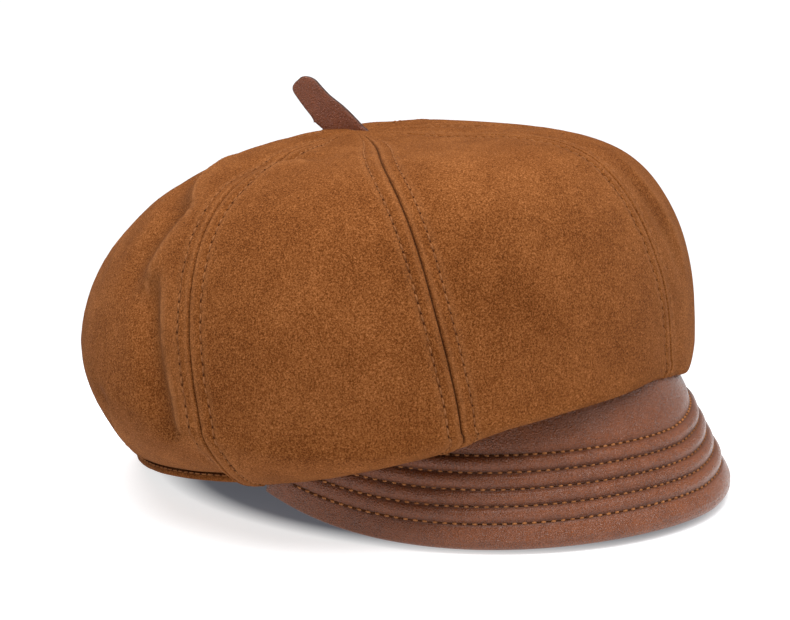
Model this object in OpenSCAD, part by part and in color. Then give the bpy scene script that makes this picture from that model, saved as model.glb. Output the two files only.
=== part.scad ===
// Newsboy cap: a puffy eight-gore crown on an oval hem, with an arched, stitched bill and a leather tab on top.
// Millimetres. The cap stands on its back hem and the edge of its bill, as it does on a shelf.
// The bill points to -Y and the wearer's right side is -X. Angles run from the front, positive to the right.

/* [Head opening] */
// Half the outside width of the hem
opening_side = 89; // [84:0.5:92]
// From the origin of the hem oval to its front
opening_front = 103; // [100:0.5:105]
// From the origin of the hem oval to its back
opening_back = 100; // [96:0.5:104]
// Rise of the hem for each millimetre forward
hem_tilt = 0.158; // [0.15:0.002:0.166]
// Extra rise of the hem over the middle of the bill
hem_lift = 15.5; // [14:0.5:17]

/* [Crown] */
// Half the width of the crown at its widest
crown_side = 129.5; // [124:0.5:134]
// Reach of the crown to the front
crown_front = 114; // [113:0.5:117]
// Reach of the crown to the back
crown_back = 109; // [105:1:114]
// Height of the crown's widest line at the sides
belly_height = 43.6; // [40:0.2:46]
// Height of the point where the gores meet
apex_z = 130.5; // [126:0.5:138]
// How far that point lies behind the hem oval's origin
apex_back = 14.5; // [10:0.5:20]
// Thickness of the suede
suede_thick = 1.2; // [0.9:0.1:1.4]
// How far the seams lie below the middle of a gore
seam_dip = 2.2; // [1:0.1:3]

/* [Bill] */
// Slope of the bill's middle line below level
bill_slope = 58; // [56:0.5:60]
// Radius that the bill's board is bent to
bill_radius = 92.5; // [92:0.5:94]
// Half width of the flat bill
bill_half_width = 188; // [184:1:192]
// Depth of the flat bill's outline
bill_depth = 136.5; // [132:0.5:139]
// Whole thickness at the middle
bill_thick = 5; // [4.4:0.1:5.4]
// From the bill's edge to its outer row of stitches
stitch_margin = 9.2; // [8:0.2:11]
// Distance between the rows of stitches
stitch_spacing = 6; // [5:0.2:6.6]
// Rows of stitches
stitch_rows = 5; // [3:1:6]

/* [Tab] */
// Length of the strip that stands out of the crown
tab_length = 25; // [22:1:30]
// Width of the strip at its root
tab_root_width = 13; // [11:0.5:14]
// Width of the strip at its end
tab_end_width = 11; // [8:0.5:12]
// Thickness of the folded strip
tab_thick = 2.4; // [1.8:0.2:3]

/* [Hidden] */
// Directions of the eight seams. The crown is slouched, so they aren't quite evenly spaced.
seam_at = [-7, 48, 90, 135, 180, 225, 270, 312, 353];
gore_count = 8;
// The seams curl round a little as they climb to the top, and back below the belly
seam_twist = 6;
lower_twist = -1;
crown_power = 2.02;
// The front of the crown is boxier than its back, and stands above the apex
profile_power = 2.4;
profile_front = 0.61;
lower_power = 1.45;
puff = 3.1;
puff_front = 10.7;
puff_side = 4.4;
// Slope of the belly line, and its rise over the bill
belly_fall = -0.161;
belly_rise = 27;
belly_rise_reach = 120;
turn_under = 3.5;
// Cosines of the directions between which the turned edge grows, and those where the bill's sides begin
turn_from = 0.45;
turn_over = 0.25;
flare_from = -0.17;
flare_over = 0.27;
// The gores stand off the hem oval where the bill lies between
flare = 4.6;
gore_front = 108;
gore_front_power = 2.6;
// Over the bill's two corners the gores' edge drops in front of the hem, and stands out a little more
corner_drop = 3;
corner_flare = 1.8;
corner_from = -0.06;
corner_rise = 0.06;
corner_to = 0.3;
corner_fall = 0.35;
// Each is [depth, middle direction, width] of a place where the soft edge hangs lower, or higher, than the rest
front_sag = [3.2, 51, 11];
left_sag = [7, -26, 18];
right_lift = [-1.5, 26, 10];
band_step = 2.6;
lip_height = 3.7;
lip_gap = 0.3;
lip_thick = 2.4;
lining_thick = 0.5;
lining_inset = 2.6;
lining_low = 12;
layer_gap = 0.15;
tape_gap = 0.7;
thread_gap = 0.8;
patch_gap = 1.6;
tape_thick = 0.4;
tape_reach = 6;
sweatband_height = 26;
sweatband_thick = 1;
sweatband_inset = 3.8;
patch_radius = 7;
// The gores' first and last climb
hem_climb = -89;
top_climb = 88.5;
// The linings stop a little lower, and start this far up the sweatband
lining_top = 88;
lining_start = 8.7;
lining_gap = 0.1;
sweatband_low = 0.6;
sweatband_row = 4;
thread_r = 0.35;
topstitch_offset = 5.5;
// The modelled rows of stitches stop where the gores turn in sharply
stitch_low = -45;
seam_gap = 0.12;
// The flat bill's outline is a superellipse about this line
bill_y = 96.5;
bill_z = 70.9;
bill_mid = -57.2;
bill_power = 1.74;
bill_corner = 164;
root_middle = 20;
root_fall = 24.5;
// The bill thins out towards its corners
thin_from = 95;
thin_to = 150;
thin_share = 0.62;
cover_share = 0.2;
padding_share = 0.26;
board_share = 0.32;
rim_width = 2.6;
rim_step = 0.3;
// How much of the bill's thickness the turned rim covers
rim_share = 0.94;
// The inner layers end short of the rim, and each lies a little below the one above
inner_inset = rim_width + 0.9;
layer_step = 0.03;
// The rows of stitches stop short of the bill's root, and lie just clear of the leather
row_end = 6;
row_gap = 0.1;
// Moves the middle of the whole cap's length onto Y = 0
frame_shift = 14.8;

function mix(a, b, t) = a * (1 - t) + b * t;
function clamp01(t) = min(1, max(0, t));
function smooth(t) = let (c = clamp01(t)) c * c * (3 - 2 * c);
function unit(v) = v / norm(v);
function flat(rows) = [for (row = rows) each row];
function steps(a, b, n) = [for (i = [0:n]) mix(a, b, i / n)];

// Radius of an oval made of a front and a back superellipse
function oval(a, side, front, back, front_power, back_power) =
  let (reach = cos(a) > 0 ? front : back, p = cos(a) > 0 ? front_power : back_power)
  pow(pow(abs(sin(a)) / side, p) + pow(abs(cos(a)) / reach, p), -1 / p);
function polar(a, r, z) = [-r * sin(a), -r * cos(a), z];
function ahead(a, r) = max(0, r * cos(a));
function hem_z(f) = hem_tilt * (f + opening_back)
  + hem_lift * pow(max(f, 0) / (gore_front + flare), 1.2);

// The hem ring: the hem band and the sweatband follow it
function ring_r(a) = oval(a, opening_side, opening_front, opening_back, 2, 2)
  - band_step * smooth(cos(a) / 0.15);
function ring_point(a, inset, up) = let (r = ring_r(a)) polar(a, r - inset, hem_z(r * cos(a)) + up);

// The lower edge of the gores, which passes outside the bill's root
function between(x, from, over) = smooth((x - from) / over);
function over_corner(a) =
  between(cos(a), corner_from, corner_rise) * (1 - between(cos(a), corner_to, corner_fall));
function turned_to(a) = a > 180 ? a - 360 : a;
function bell(a, place) = place[0] * exp(-pow((a - place[1]) / place[2], 2));
function edge_sag(a) = let (n = turned_to(a)) bell(abs(n), front_sag) + bell(n, left_sag) + bell(n, right_lift);
function edge_r(a) = oval(a, opening_side, gore_front, opening_back, gore_front_power, 2)
  + flare * between(cos(a), flare_from, flare_over) + corner_flare * over_corner(a);
function edge_z(a, f) = hem_z(f) + lip_height + lip_gap - corner_drop * over_corner(a);
function edge_point(a) = let (r = edge_r(a))
  polar(a, r, min(edge_z(a, r * cos(a)), belly_z(a, belly_r(a))) - edge_sag(a));

function belly_r(a) = oval(a, crown_side, crown_front, crown_back, crown_power, crown_power);
function belly_z(a, r) = belly_height + belly_fall * r * cos(a)
  + belly_rise * pow(ahead(a, r) / belly_rise_reach, 2);
// Over the bill the widest line stands a little above the gores' edge, which is turned under it
function belly_point(a) = let (r = belly_r(a))
  polar(a, r, belly_z(a, r) + turn_under * between(cos(a), turn_from, turn_over));
apex = [0, apex_back, apex_z];

// A point of the smooth crown: a is the direction, climb runs from -90 at the hem to 90 at the apex
function crown_point(a, climb) =
  let (
    turned = a + (climb > 0 ? seam_twist : -lower_twist) * sin(2 * climb),
    belly = belly_point(turned),
    upper = climb > 0,
    foot = upper ? apex : edge_point(a),
    p = upper ? profile_power + profile_front * cos(a) : lower_power,
    across = pow(cos(climb), 2 / p),
    up = pow(abs(sin(climb)), 2 / p),
    rise = upper ? (puff + puff_front * cos(a) + puff_side * sin(a)) * pow(sin(2 * climb), 2) : 0
  )
  [mix(foot[0], belly[0], across), mix(foot[1], belly[1], across), mix(belly[2], foot[2], up) + rise];

// The same point moved out along the surface's normal
function crown_offset(a, climb, out) =
  let (
    da = crown_point(a + 0.5, climb) - crown_point(a - 0.5, climb),
    dc = crown_point(a, min(climb + 0.5, 89.8)) - crown_point(a, max(climb - 0.5, -89.8))
  )
  crown_point(a, climb) + out * unit(cross(dc, da));
// Gores swell between the seams: share runs from 0 at one seam to 1 at the next
function swell(share, climb) = seam_dip * (pow(sin(180 * clamp01(share)), 0.7) - 0.5) * pow(cos(climb), 0.5);

// A closed shell between two grids of points with the same shape
module shell(outer, inner) {
  rows = len(outer);
  cols = len(outer[0]);
  far = rows * cols;
  points = concat(flat(outer), flat(inner));
  quads = concat(
    [for (i = [0:rows - 2], j = [0:cols - 2])
      [i * cols + j, i * cols + j + 1, (i + 1) * cols + j + 1, (i + 1) * cols + j]],
    [for (i = [0:rows - 2], j = [0:cols - 2])
      [far + i * cols + j, far + (i + 1) * cols + j, far + (i + 1) * cols + j + 1, far + i * cols + j + 1]],
    [for (i = [0:rows - 2]) [i * cols, (i + 1) * cols, far + (i + 1) * cols, far + i * cols]],
    [for (i = [0:rows - 2]) [far + i * cols + cols - 1, far + (i + 1) * cols + cols - 1,
      (i + 1) * cols + cols - 1, i * cols + cols - 1]],
    [for (j = [0:cols - 2]) [far + j, far + j + 1, j + 1, j]],
    [for (j = [0:cols - 2]) [(rows - 1) * cols + j, (rows - 1) * cols + j + 1,
      far + (rows - 1) * cols + j + 1, far + (rows - 1) * cols + j]]
  );
  polyhedron(points, [for (q = quads) each [[q[0], q[1], q[2]], [q[0], q[2], q[3]]]], convexity = 6);
}
// A closed ring of one cross-section: sections is a list of loops, one for each direction
module ring(sections) {
  count = len(sections);
  cols = len(sections[0]);
  quads = [for (i = [0:count - 1], j = [0:cols - 1])
    let (n = (i + 1) % count, k = (j + 1) % cols) [i * cols + j, i * cols + k, n * cols + k, n * cols + j]];
  polyhedron(flat(sections), [for (q = quads) each [[q[0], q[1], q[2]], [q[0], q[2], q[3]]]], convexity = 8);
}
// A thread of four sides along a path. side_hint is any direction that no path runs along.
side_hint = [0.31, 0.23, 0.92];
module thread(path, r) {
  last = len(path) - 1;
  function side(i) = unit(path[min(i + 1, last)] - path[max(i - 1, 0)]);
  function frame_x(i) = unit(cross(side(i), side_hint));
  loops = [for (i = [0:last]) let (x = frame_x(i), y = cross(side(i), x))
    [path[i] + r * x, path[i] + r * y, path[i] - r * x, path[i] - r * y]];
  quads = [for (i = [0:last - 1], j = [0:3]) let (k = (j + 1) % 4)
    [i * 4 + j, i * 4 + k, (i + 1) * 4 + k, (i + 1) * 4 + j]];
  polyhedron(flat(loops), concat(
    [for (q = quads) each [[q[0], q[2], q[1]], [q[0], q[3], q[2]]]],
    [[0, 1, 2], [0, 2, 3], [last * 4 + 2, last * 4 + 1, last * 4], [last * 4 + 3, last * 4 + 2, last * 4]]
  ), convexity = 4);
}

// One suede panel of the crown
module gore(k) {
  climbs = concat(steps(hem_climb, 0, 5), steps(6, 72, 7), [80, 85, top_climb]);
  function across(share, climb) = mix(seam_at[k], seam_at[k + 1], share);
  function layer(depth) = [for (c = climbs) [for (s = steps(0, 1, 6))
    let (gap = seam_gap * (0.5 - s), a = across(s, c) + gap)
    crown_offset(a, c, swell(s, c) - depth)]];
  color("#8a5a30") shell(layer(0), layer(suede_thick));
}
// One lining panel: it hangs from the sweatband straight to the inside of the belly
module lining(k) {
  climbs = concat(steps(lining_low, 72, 5), [81, 86, lining_top]);
  outside = suede_thick + tape_gap + tape_thick + layer_gap + seam_dip / 2;
  places = [for (s = steps(0, 1, 5)) mix(seam_at[k], seam_at[k + 1], s) + lining_gap * (0.5 - s)];
  function layer(depth) = concat(
    [[for (a = places) ring_point(a, lining_inset + depth, lining_start)]],
    [for (c = climbs) [for (a = places) crown_offset(a, c, -outside - depth)]]);
  color("#4a3426") shell(layer(0), layer(lining_thick));
}
// A tape under each gore seam
module seam_tapes() {
  function half(c) = tape_reach / norm(crown_point(0, c) - apex) * 180 / PI;
  function layer(k, depth) = [for (c = steps(8, 68, 8)) [for (t = [-1, 0, 1])
    crown_offset(seam_at[k] + t * half(c), c, swell(0, c) - suede_thick - tape_gap - depth)]];
  color("#3c2b20") for (k = [0:gore_count - 1]) shell(layer(k, 0), layer(k, tape_thick));
}
// A row of topstitching each side of every gore seam
module gore_stitching() {
  function degree_width(k, c) = norm(crown_point(seam_at[k] + 1, c) - crown_point(seam_at[k], c));
  function share_for(k, c) = topstitch_offset / degree_width(k, c) / (seam_at[k + 1] - seam_at[k]);
  module row(k, flip) {
    path = [for (c = concat(steps(stitch_low, 0, 7), steps(4, 72, 11)))
      let (f = share_for(k, c), s = flip ? 1 - f : f)
      crown_offset(mix(seam_at[k], seam_at[k + 1], s), c, swell(s, c) + thread_r + thread_gap)];
    thread(path, thread_r);
  }
  color("#6e4526") for (k = [0:gore_count - 1], flip = [false, true]) row(k, flip);
}
// A small disc inside the top, which the tab is sewn through
module tab_patch() {
  color("#3c2b20") translate(apex - [0, 0, suede_thick + patch_gap + tape_thick])
    cylinder(r = patch_radius, h = tape_thick, $fn = 48);
}
// The turned hem below the gores
module hem_band() {
  profile = [[0, 0], [0, lip_height], [lip_thick, lip_height], [lip_thick, 0]];
  color("#7d4f2b") ring([for (a = [0:5:355]) [for (p = profile) ring_point(a, p[0], p[1])]]);
}
module hem_stitching() {
  color("#6e4526") ring([for (a = [0:6:354]) let (c = ring_point(a, -2 * thread_r, lip_height / 2))
    [c + polar(a, thread_r, 0), c + [0, 0, thread_r], c - polar(a, thread_r, 0), c - [0, 0, thread_r]]]);
}
// The band that the head touches
module sweatband() {
  profile = [[0, sweatband_low], [0, sweatband_height], [sweatband_thick, sweatband_height],
    [sweatband_thick, sweatband_low]];
  color("#5b3d2a") ring([for (a = [0:5:355]) [for (p = profile) ring_point(a, p[0] + sweatband_inset, p[1])]]);
}
module sweatband_stitching() {
  inset = sweatband_inset + sweatband_thick + 2 * thread_r;
  color("#6e4526") ring([for (a = [0:6:354]) let (c = ring_point(a, inset, sweatband_row))
    [c + polar(a, thread_r, 0), c + [0, 0, thread_r], c - polar(a, thread_r, 0), c - [0, 0, thread_r]]]);
}

// A point of the bent bill: u runs across the flat bill, v down it, and out is along its normal
function bill_point(u, v, out) =
  let (
    bend = u / bill_radius * 180 / PI,
    drop = (bill_radius + out) * cos(bend) - bill_radius
  )
  [(bill_radius + out) * sin(bend), -(bill_y + v * cos(bill_slope) + drop * sin(bill_slope)),
    bill_z - v * sin(bill_slope) + drop * cos(bill_slope)];
// The flat outline and the line where the bill meets the crown
function outline(t) = [bill_half_width * sign(t) * pow(abs(sin(t)), 2 / bill_power),
  bill_mid + bill_depth * pow(cos(t), 2 / bill_power)];
function inward(t) = let (d = outline(t + 0.2) - outline(t - 0.2)) unit([d[1], -d[0]]);
function inset_outline(t, inset) = outline(t) + inward(t) * inset;
function root_v(u) = root_middle - root_fall * pow(u / bill_corner, 2);
corner_t = asin(pow(bill_corner / bill_half_width, bill_power / 2));
function thickness(u) = bill_thick * (1 - thin_share * smooth((abs(u) - thin_from) / (thin_to - thin_from)));
bill_columns = 34;

// One layer of the bill between two depths, given as shares of its thickness, held back from the edge by inset
module bill_layer(top, bottom, inset, rim) {
  reach = corner_t - 0.4 * inset;
  places = steps(-reach, reach, bill_columns);
  function at(p, depth) = bill_point(p[0], p[1], -depth * thickness(p[0]));
  function row(share, depth) = [for (t = places)
    let (edge = inset_outline(t, inset + (rim > 0 ? rim + rim_step : 0)), root = [edge[0], root_v(edge[0])])
    at(mix(root, edge, share), depth)];
  function rim_row(from_edge, depth) = [for (t = places)
    at(inset_outline(t, inset + from_edge), depth > 0 ? rim_share : 0)];
  function grid(depth) = concat([for (share = steps(0, 1, 4)) row(share, depth)],
    rim > 0 ? [rim_row(rim, depth), rim_row(0, depth)] : []);
  shell(grid(top), grid(bottom));
}
module brim_top_cover() { color("#7e523f") bill_layer(0, cover_share, 0, rim_width); }
module brim_padding() {
  color("#c8b48c") bill_layer(cover_share + layer_step, cover_share + padding_share, inner_inset, 0);
}
module brim_board() {
  top = cover_share + padding_share + layer_step;
  color("#d8d2c4") bill_layer(top, top + board_share, inner_inset, 0);
}
module brim_under_cover() {
  top = cover_share + padding_share + board_share + 2 * layer_step;
  color("#74493a") bill_layer(top, 1, inner_inset, 0);
}
module brim_stitching() {
  module row(inset) {
    spots = [for (t = steps(-corner_t, corner_t, 60)) let (p = inset_outline(t, inset))
      if (p[1] > root_v(p[0]) + row_end) bill_point(p[0], p[1], thread_r + row_gap)];
    thread(spots, thread_r);
  }
  color("#a8683c") for (i = [0:stitch_rows - 1]) row(stitch_margin + i * stitch_spacing);
}

// The folded strip: it stands in the plane of symmetry just behind the apex, leans back and straightens
tab_back = 5.5;
tab_tilt_root = 34;
tab_tilt_end = 50;
tab_lift = 1.5;
// The root is cut level, to stand on the crown, and widens until this share of the length
root_cut_to = 0.5;
root_cut_share = 0.75;
tip_thin_share = 0.7;
module crown_tab() {
  function width(s) = mix(tab_root_width, tab_end_width, s);
  function tilt(s) = mix(tab_tilt_root, tab_tilt_end, s);
  function middle(s) = tab_length * [0, (sin(tilt(s)) - sin(tab_tilt_root)), cos(tab_tilt_root) - cos(tilt(s))]
    / ((tab_tilt_end - tab_tilt_root) * PI / 180);
  function across(s) = unit(mix([0, 1, 0], [0, sin(tilt(s)), -cos(tilt(s))], smooth(s / root_cut_to)));
  function spread(s) = width(s) / mix(sin(tab_tilt_root) / root_cut_share, 1, smooth(s / root_cut_to));
  function section(s, x) = [for (w = steps(-0.5, 0.5, 4))
    apex + [x, tab_back, tab_lift] + middle(s) + across(s) * w * spread(s)];
  function side(x) = [for (s = steps(0, 1, 10)) section(s, x * (s == 1 ? tip_thin_share : 1))];
  color("#77513f") shell(side(-tab_thick / 2), side(tab_thick / 2));
}

module placed() { translate([0, frame_shift, 0]) children(); }
for (k = [0:gore_count - 1]) {
  placed() gore(k);
  placed() lining(k);
}
placed() seam_tapes();
placed() gore_stitching();
placed() tab_patch();
placed() hem_band();
placed() hem_stitching();
placed() sweatband();
placed() sweatband_stitching();
placed() brim_top_cover();
placed() brim_padding();
placed() brim_board();
placed() brim_under_cover();
placed() brim_stitching();
placed() crown_tab();
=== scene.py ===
"""A suede newsboy cap with a stitched leather bill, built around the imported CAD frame.

Shapes are worked out in millimetres in the CAD's own terms and moved into the frame by world().
Directions are degrees from the front, positive to the wearer's right.
A climb runs from -90 at the hem to 90 at the top.
"""
import math

import bmesh
import bpy
import numpy as np
from mathutils import Matrix, Vector

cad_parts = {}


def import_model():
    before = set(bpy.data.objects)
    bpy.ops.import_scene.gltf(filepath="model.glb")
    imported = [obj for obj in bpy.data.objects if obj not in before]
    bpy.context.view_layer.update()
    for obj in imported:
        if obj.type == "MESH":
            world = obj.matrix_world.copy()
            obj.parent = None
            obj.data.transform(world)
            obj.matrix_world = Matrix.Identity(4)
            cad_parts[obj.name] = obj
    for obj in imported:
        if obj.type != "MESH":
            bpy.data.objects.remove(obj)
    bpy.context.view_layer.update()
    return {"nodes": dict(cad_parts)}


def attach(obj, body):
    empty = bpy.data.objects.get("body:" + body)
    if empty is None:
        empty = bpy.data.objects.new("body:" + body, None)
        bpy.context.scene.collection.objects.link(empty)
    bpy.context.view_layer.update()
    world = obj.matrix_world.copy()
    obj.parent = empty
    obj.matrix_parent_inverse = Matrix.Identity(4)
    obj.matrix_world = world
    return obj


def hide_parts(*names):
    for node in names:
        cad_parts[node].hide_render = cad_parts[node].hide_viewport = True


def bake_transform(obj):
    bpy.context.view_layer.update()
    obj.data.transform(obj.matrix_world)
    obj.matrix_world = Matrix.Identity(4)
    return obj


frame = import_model()

FRAME_SHIFT = 14.8  # the crown's own origin lies this far behind the frame's
RAD = math.pi / 180

# The CAD's sizes
HEM_SIDE, HEM_FRONT, HEM_BACK = 89.0, 103.0, 100.0
HEM_TILT, HEM_LIFT = 0.158, 15.5
CROWN_SIDE, CROWN_FRONT, CROWN_BACK = 129.5, 114.0, 109.0
BELLY_Z = 43.6
APEX = np.array([0.0, 14.5, 130.5])
SEAM_DIP = 2.2
SEAMS = np.array([-7, 48, 90, 135, 180, 225, 270, 312, 353.0])
GORES = 8
SEAM_TWIST, LOWER_TWIST = 6.0, -1.0
CROWN_POWER, PROFILE_POWER, PROFILE_FRONT, LOWER_POWER = 2.02, 2.4, 0.61, 1.45
PUFF, PUFF_FRONT, PUFF_SIDE = 3.1, 10.7, 4.4
BELLY_FALL, BELLY_RISE, BELLY_REACH = -0.161, 27.0, 120.0
FLARE, GORE_FRONT, GORE_FRONT_POWER, BAND_STEP = 4.6, 108.0, 2.6, 2.6
CORNER_DROP, CORNER_FLARE, TURN_UNDER = 3.8, 1.8, 3.5
# Where the soft edge hangs lower or higher than the rest: depth, direction and width
FRONT_SAG, LEFT_SAG, RIGHT_LIFT = (3.2, 51, 11), (7.0, -26, 18), (-1.5, 26, 10)
LIP_HEIGHT, LIP_GAP, LIP_THICK = 3.7, 0.3, 2.4
SUEDE_THICK = 1.2
BILL_Y, BILL_Z, BILL_MID, BILL_POWER, BILL_CORNER = 96.5, 70.9, -57.2, 1.74, 164.0
ROOT_MIDDLE, ROOT_FALL = 20.0, 24.5
BILL_SLOPE, BILL_RADIUS, BILL_HALF, BILL_DEPTH, BILL_THICK = 58.0, 92.5, 188.0, 136.5, 5.0
THIN_FROM, THIN_TO, THIN_SHARE = 95.0, 150.0, 0.62
ROW_MARGIN, ROW_SPACING, ROWS = 9.2, 6.0, 5
TOPSTITCH = 5.0

# More sizes, of the layers and details
SEAM_DRAW, DRAWN_SEAM, DRAW_REACH = 8.7, 48.0, 24.0  # one front seam is drawn over a little near the top
CROWDED_WIDTH = 34.0  # where a gore is narrower than this, its seam details draw closer together
FLAT_BY_SEAM = 4.6  # the puff starts this far from a seam
TAPE_ROOM, TAPE_THICK, LAYER_GAP, LINING_THICK = 0.9, 0.4, 0.15, 0.4
SWEATBAND_INSET, SWEATBAND_THICK = 3.8, 1.0
# From the bill's edge: the quilting's reach, the rim's start and the under leather's start
QUILTED_DEPTH, RIM_START, UNDER_START = 35.0, 2.6, 5.4
UNDER_RELIEF = 0.35  # the under leather's quilting, as a share of the top's


# -------- shared surfaces
def world(points):
    """Millimetres in the crown's own frame to metres in the shared frame."""
    return (np.asarray(points, float) + np.array([0, FRAME_SHIFT, 0])) / 1000


def smooth(t):
    t = np.clip(t, 0, 1)
    return t * t * (3 - 2 * t)


def hump(x, width):
    return np.exp(-((x / width) ** 2))


def unit(v):
    return v / np.maximum(np.linalg.norm(v, axis=-1, keepdims=True), 1e-12)


def steps(points):
    """The distance from each point of a line to the next."""
    return np.linalg.norm(np.diff(points, axis=0), axis=1)


def distances(points):
    """How far along a line each of its points lies."""
    return np.concatenate([[0], np.cumsum(steps(points))])


def between(places, along, vectors):
    """The vectors given at distances along a line, at places between them."""
    return np.stack([np.interp(places, along, vectors[:, i]) for i in range(3)], -1)


def signed_power(x, power):
    return np.sign(x) * np.abs(x) ** power


def oval(a, side, front, back, front_power, back_power):
    c, s = np.cos(a * RAD), np.sin(a * RAD)
    reach = np.where(c > 0, front, back)
    p = np.where(c > 0, front_power, back_power)
    return (np.abs(s / side) ** p + np.abs(c / reach) ** p) ** (-1 / p)


def polar(a, r, z):
    return np.stack(np.broadcast_arrays(-r * np.sin(a * RAD), -r * np.cos(a * RAD), z), -1)


def hem_z(f):
    return HEM_TILT * (f + HEM_BACK) + HEM_LIFT * (np.maximum(f, 0) / (GORE_FRONT + FLARE)) ** 1.2


def ring_r(a):
    return oval(a, HEM_SIDE, HEM_FRONT, HEM_BACK, 2, 2) - BAND_STEP * smooth(np.cos(a * RAD) / 0.15)


def ring_point(a, inset, up):
    r = ring_r(a)
    return polar(a, r - inset, hem_z(r * np.cos(a * RAD)) + up)


def over_corner(a):
    c = np.cos(a * RAD)
    return smooth((c + 0.06) / 0.06) * (1 - smooth((c - 0.3) / 0.35))


def edge_sag(a):
    a = np.where(a > 180, a - 360, a)
    bells = ((abs(a), FRONT_SAG), (a, LEFT_SAG), (a, RIGHT_LIFT))
    return sum([depth * hump(x - at, width) for x, (depth, at, width) in bells])


def belly_height(f):
    return BELLY_Z + BELLY_FALL * f + BELLY_RISE * (np.maximum(f, 0) / BELLY_REACH) ** 2


def belly_r(a):
    return oval(a, CROWN_SIDE, CROWN_FRONT, CROWN_BACK, CROWN_POWER, CROWN_POWER)


def edge_point(a):
    c, corner = np.cos(a * RAD), over_corner(a)
    r = oval(a, HEM_SIDE, GORE_FRONT, HEM_BACK, GORE_FRONT_POWER, 2)
    r = r + FLARE * smooth((c + 0.17) / 0.27) + CORNER_FLARE * corner
    z = hem_z(r * c) + LIP_HEIGHT + LIP_GAP - CORNER_DROP * corner
    return polar(a, r, np.minimum(z, belly_height(belly_r(a) * c)) - edge_sag(a))


def belly_point(a):
    r, c = belly_r(a), np.cos(a * RAD)
    return polar(a, r, belly_height(r * c) + TURN_UNDER * smooth((c - 0.45) / 0.25))


def crown_point(a, climb):
    a, climb = np.broadcast_arrays(np.asarray(a, float), np.asarray(climb, float))
    upper = climb > 0
    sine = np.sin(climb * RAD)
    draw = SEAM_DRAW * hump(a - DRAWN_SEAM, DRAW_REACH) * sine**4
    belly = belly_point(a + np.where(upper, SEAM_TWIST + draw, -LOWER_TWIST) * np.sin(2 * climb * RAD))
    foot = np.where(upper[..., None], APEX, edge_point(a))
    p = np.where(upper, PROFILE_POWER + PROFILE_FRONT * np.cos(a * RAD), LOWER_POWER)
    across = np.maximum(np.cos(climb * RAD), 0) ** (2 / p)
    up = np.abs(sine) ** (2 / p)
    puff = PUFF + PUFF_FRONT * np.cos(a * RAD) + PUFF_SIDE * np.sin(a * RAD)
    rise = np.where(upper, puff * np.sin(2 * climb * RAD) ** 2, 0)
    xy = foot[..., :2] + (belly[..., :2] - foot[..., :2]) * across[..., None]
    z = belly[..., 2] + (foot[..., 2] - belly[..., 2]) * up + rise
    return np.concatenate([xy, z[..., None]], -1)


def crown_normal(a, climb):
    a, climb = np.broadcast_arrays(np.asarray(a, float), np.asarray(climb, float))
    da = crown_point(a + 0.5, climb) - crown_point(a - 0.5, climb)
    dc = crown_point(a, np.minimum(climb + 0.5, 89.8)) - crown_point(a, np.maximum(climb - 0.5, -89.8))
    return unit(np.cross(dc, da))


# -------- seeded noise
def noise_1d(seed, length, step):
    """A smooth random curve with a value about every step; returns a function of position."""
    count = int(length / step) + 4
    values = np.random.default_rng(seed).uniform(-1, 1, count)

    def at(x):
        x = np.clip(np.asarray(x, float) / step, 0, count - 1.001)
        i = np.floor(x).astype(int)
        t = smooth(x - i)
        return values[i] * (1 - t) + values[np.minimum(i + 1, count - 1)] * t

    return at


def noise_3d(points, size, seed):
    """Smooth value noise at points, for features about size across, from -1 to 1."""
    table = np.random.default_rng(seed).uniform(-1, 1, 4096)
    p = np.asarray(points, float) / size + 512
    i = np.floor(p).astype(np.int64)
    t = smooth(p - i)
    total = 0
    for dx in (0, 1):
        for dy in (0, 1):
            for dz in (0, 1):
                x, y, z = i[..., 0] + dx, i[..., 1] + dy, i[..., 2] + dz
                entry = (x * 73856093 ^ y * 19349663 ^ z * 83492791) & 4095
                weight = np.abs(1 - dx - t[..., 0]) * np.abs(1 - dy - t[..., 1]) * np.abs(1 - dz - t[..., 2])
                total = total + table[entry] * weight
    return total


# -------- mesh building
def add_object(name, data):
    thing = bpy.data.objects.new(name, data)
    bpy.context.scene.collection.objects.link(thing)
    return thing


def make_piece(name, points, faces, material, attributes=None):
    """A mesh object from points in the crown's frame and lists of quads and triangles."""
    mesh = bpy.data.meshes.new(name)
    mesh.from_pydata(world(points).tolist(), [], faces)
    mesh.polygons.foreach_set("use_smooth", [True] * len(mesh.polygons))
    for key, values in (attributes or {}).items():
        layer = mesh.attributes.new(key, "FLOAT", "POINT")
        layer.data.foreach_set("value", np.asarray(values, np.float32).ravel())
    mesh.materials.append(material)
    mesh.validate()
    mesh.update()
    return add_object(name, mesh)


def grid_faces(rows, cols, start=0, wrap=False, flip=False):
    i, j = np.meshgrid(np.arange(rows - 1), np.arange(cols if wrap else cols - 1), indexing="ij")
    k = (j + 1) % cols
    here, above = i * cols, (i + 1) * cols
    quads = np.stack([here + j, here + k, above + k, above + j], -1).reshape(-1, 4) + start
    return quads[:, ::-1] if flip else quads


def shell(outer, inner, wrap=False):
    """Points and faces of a closed shell between two grids of the same shape."""
    rows, cols = outer.shape[:2]
    far = rows * cols
    points = np.concatenate([outer.reshape(-1, 3), inner.reshape(-1, 3)])
    faces = [grid_faces(rows, cols, 0, wrap), grid_faces(rows, cols, far, wrap, True)]
    j = np.arange(cols if wrap else cols - 1)
    k = (j + 1) % cols
    last = (rows - 1) * cols
    faces.append(np.stack([far + j, far + k, k, j], -1))
    faces.append(np.stack([last + j, last + k, far + last + k, far + last + j], -1))
    if not wrap:
        i = np.arange(rows - 1) * cols
        faces.append(np.stack([i, i + cols, far + i + cols, far + i], -1))
        e = i + cols - 1
        faces.append(np.stack([far + e, far + e + cols, e + cols, e], -1))
    return points, np.concatenate(faces).tolist()


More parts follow.
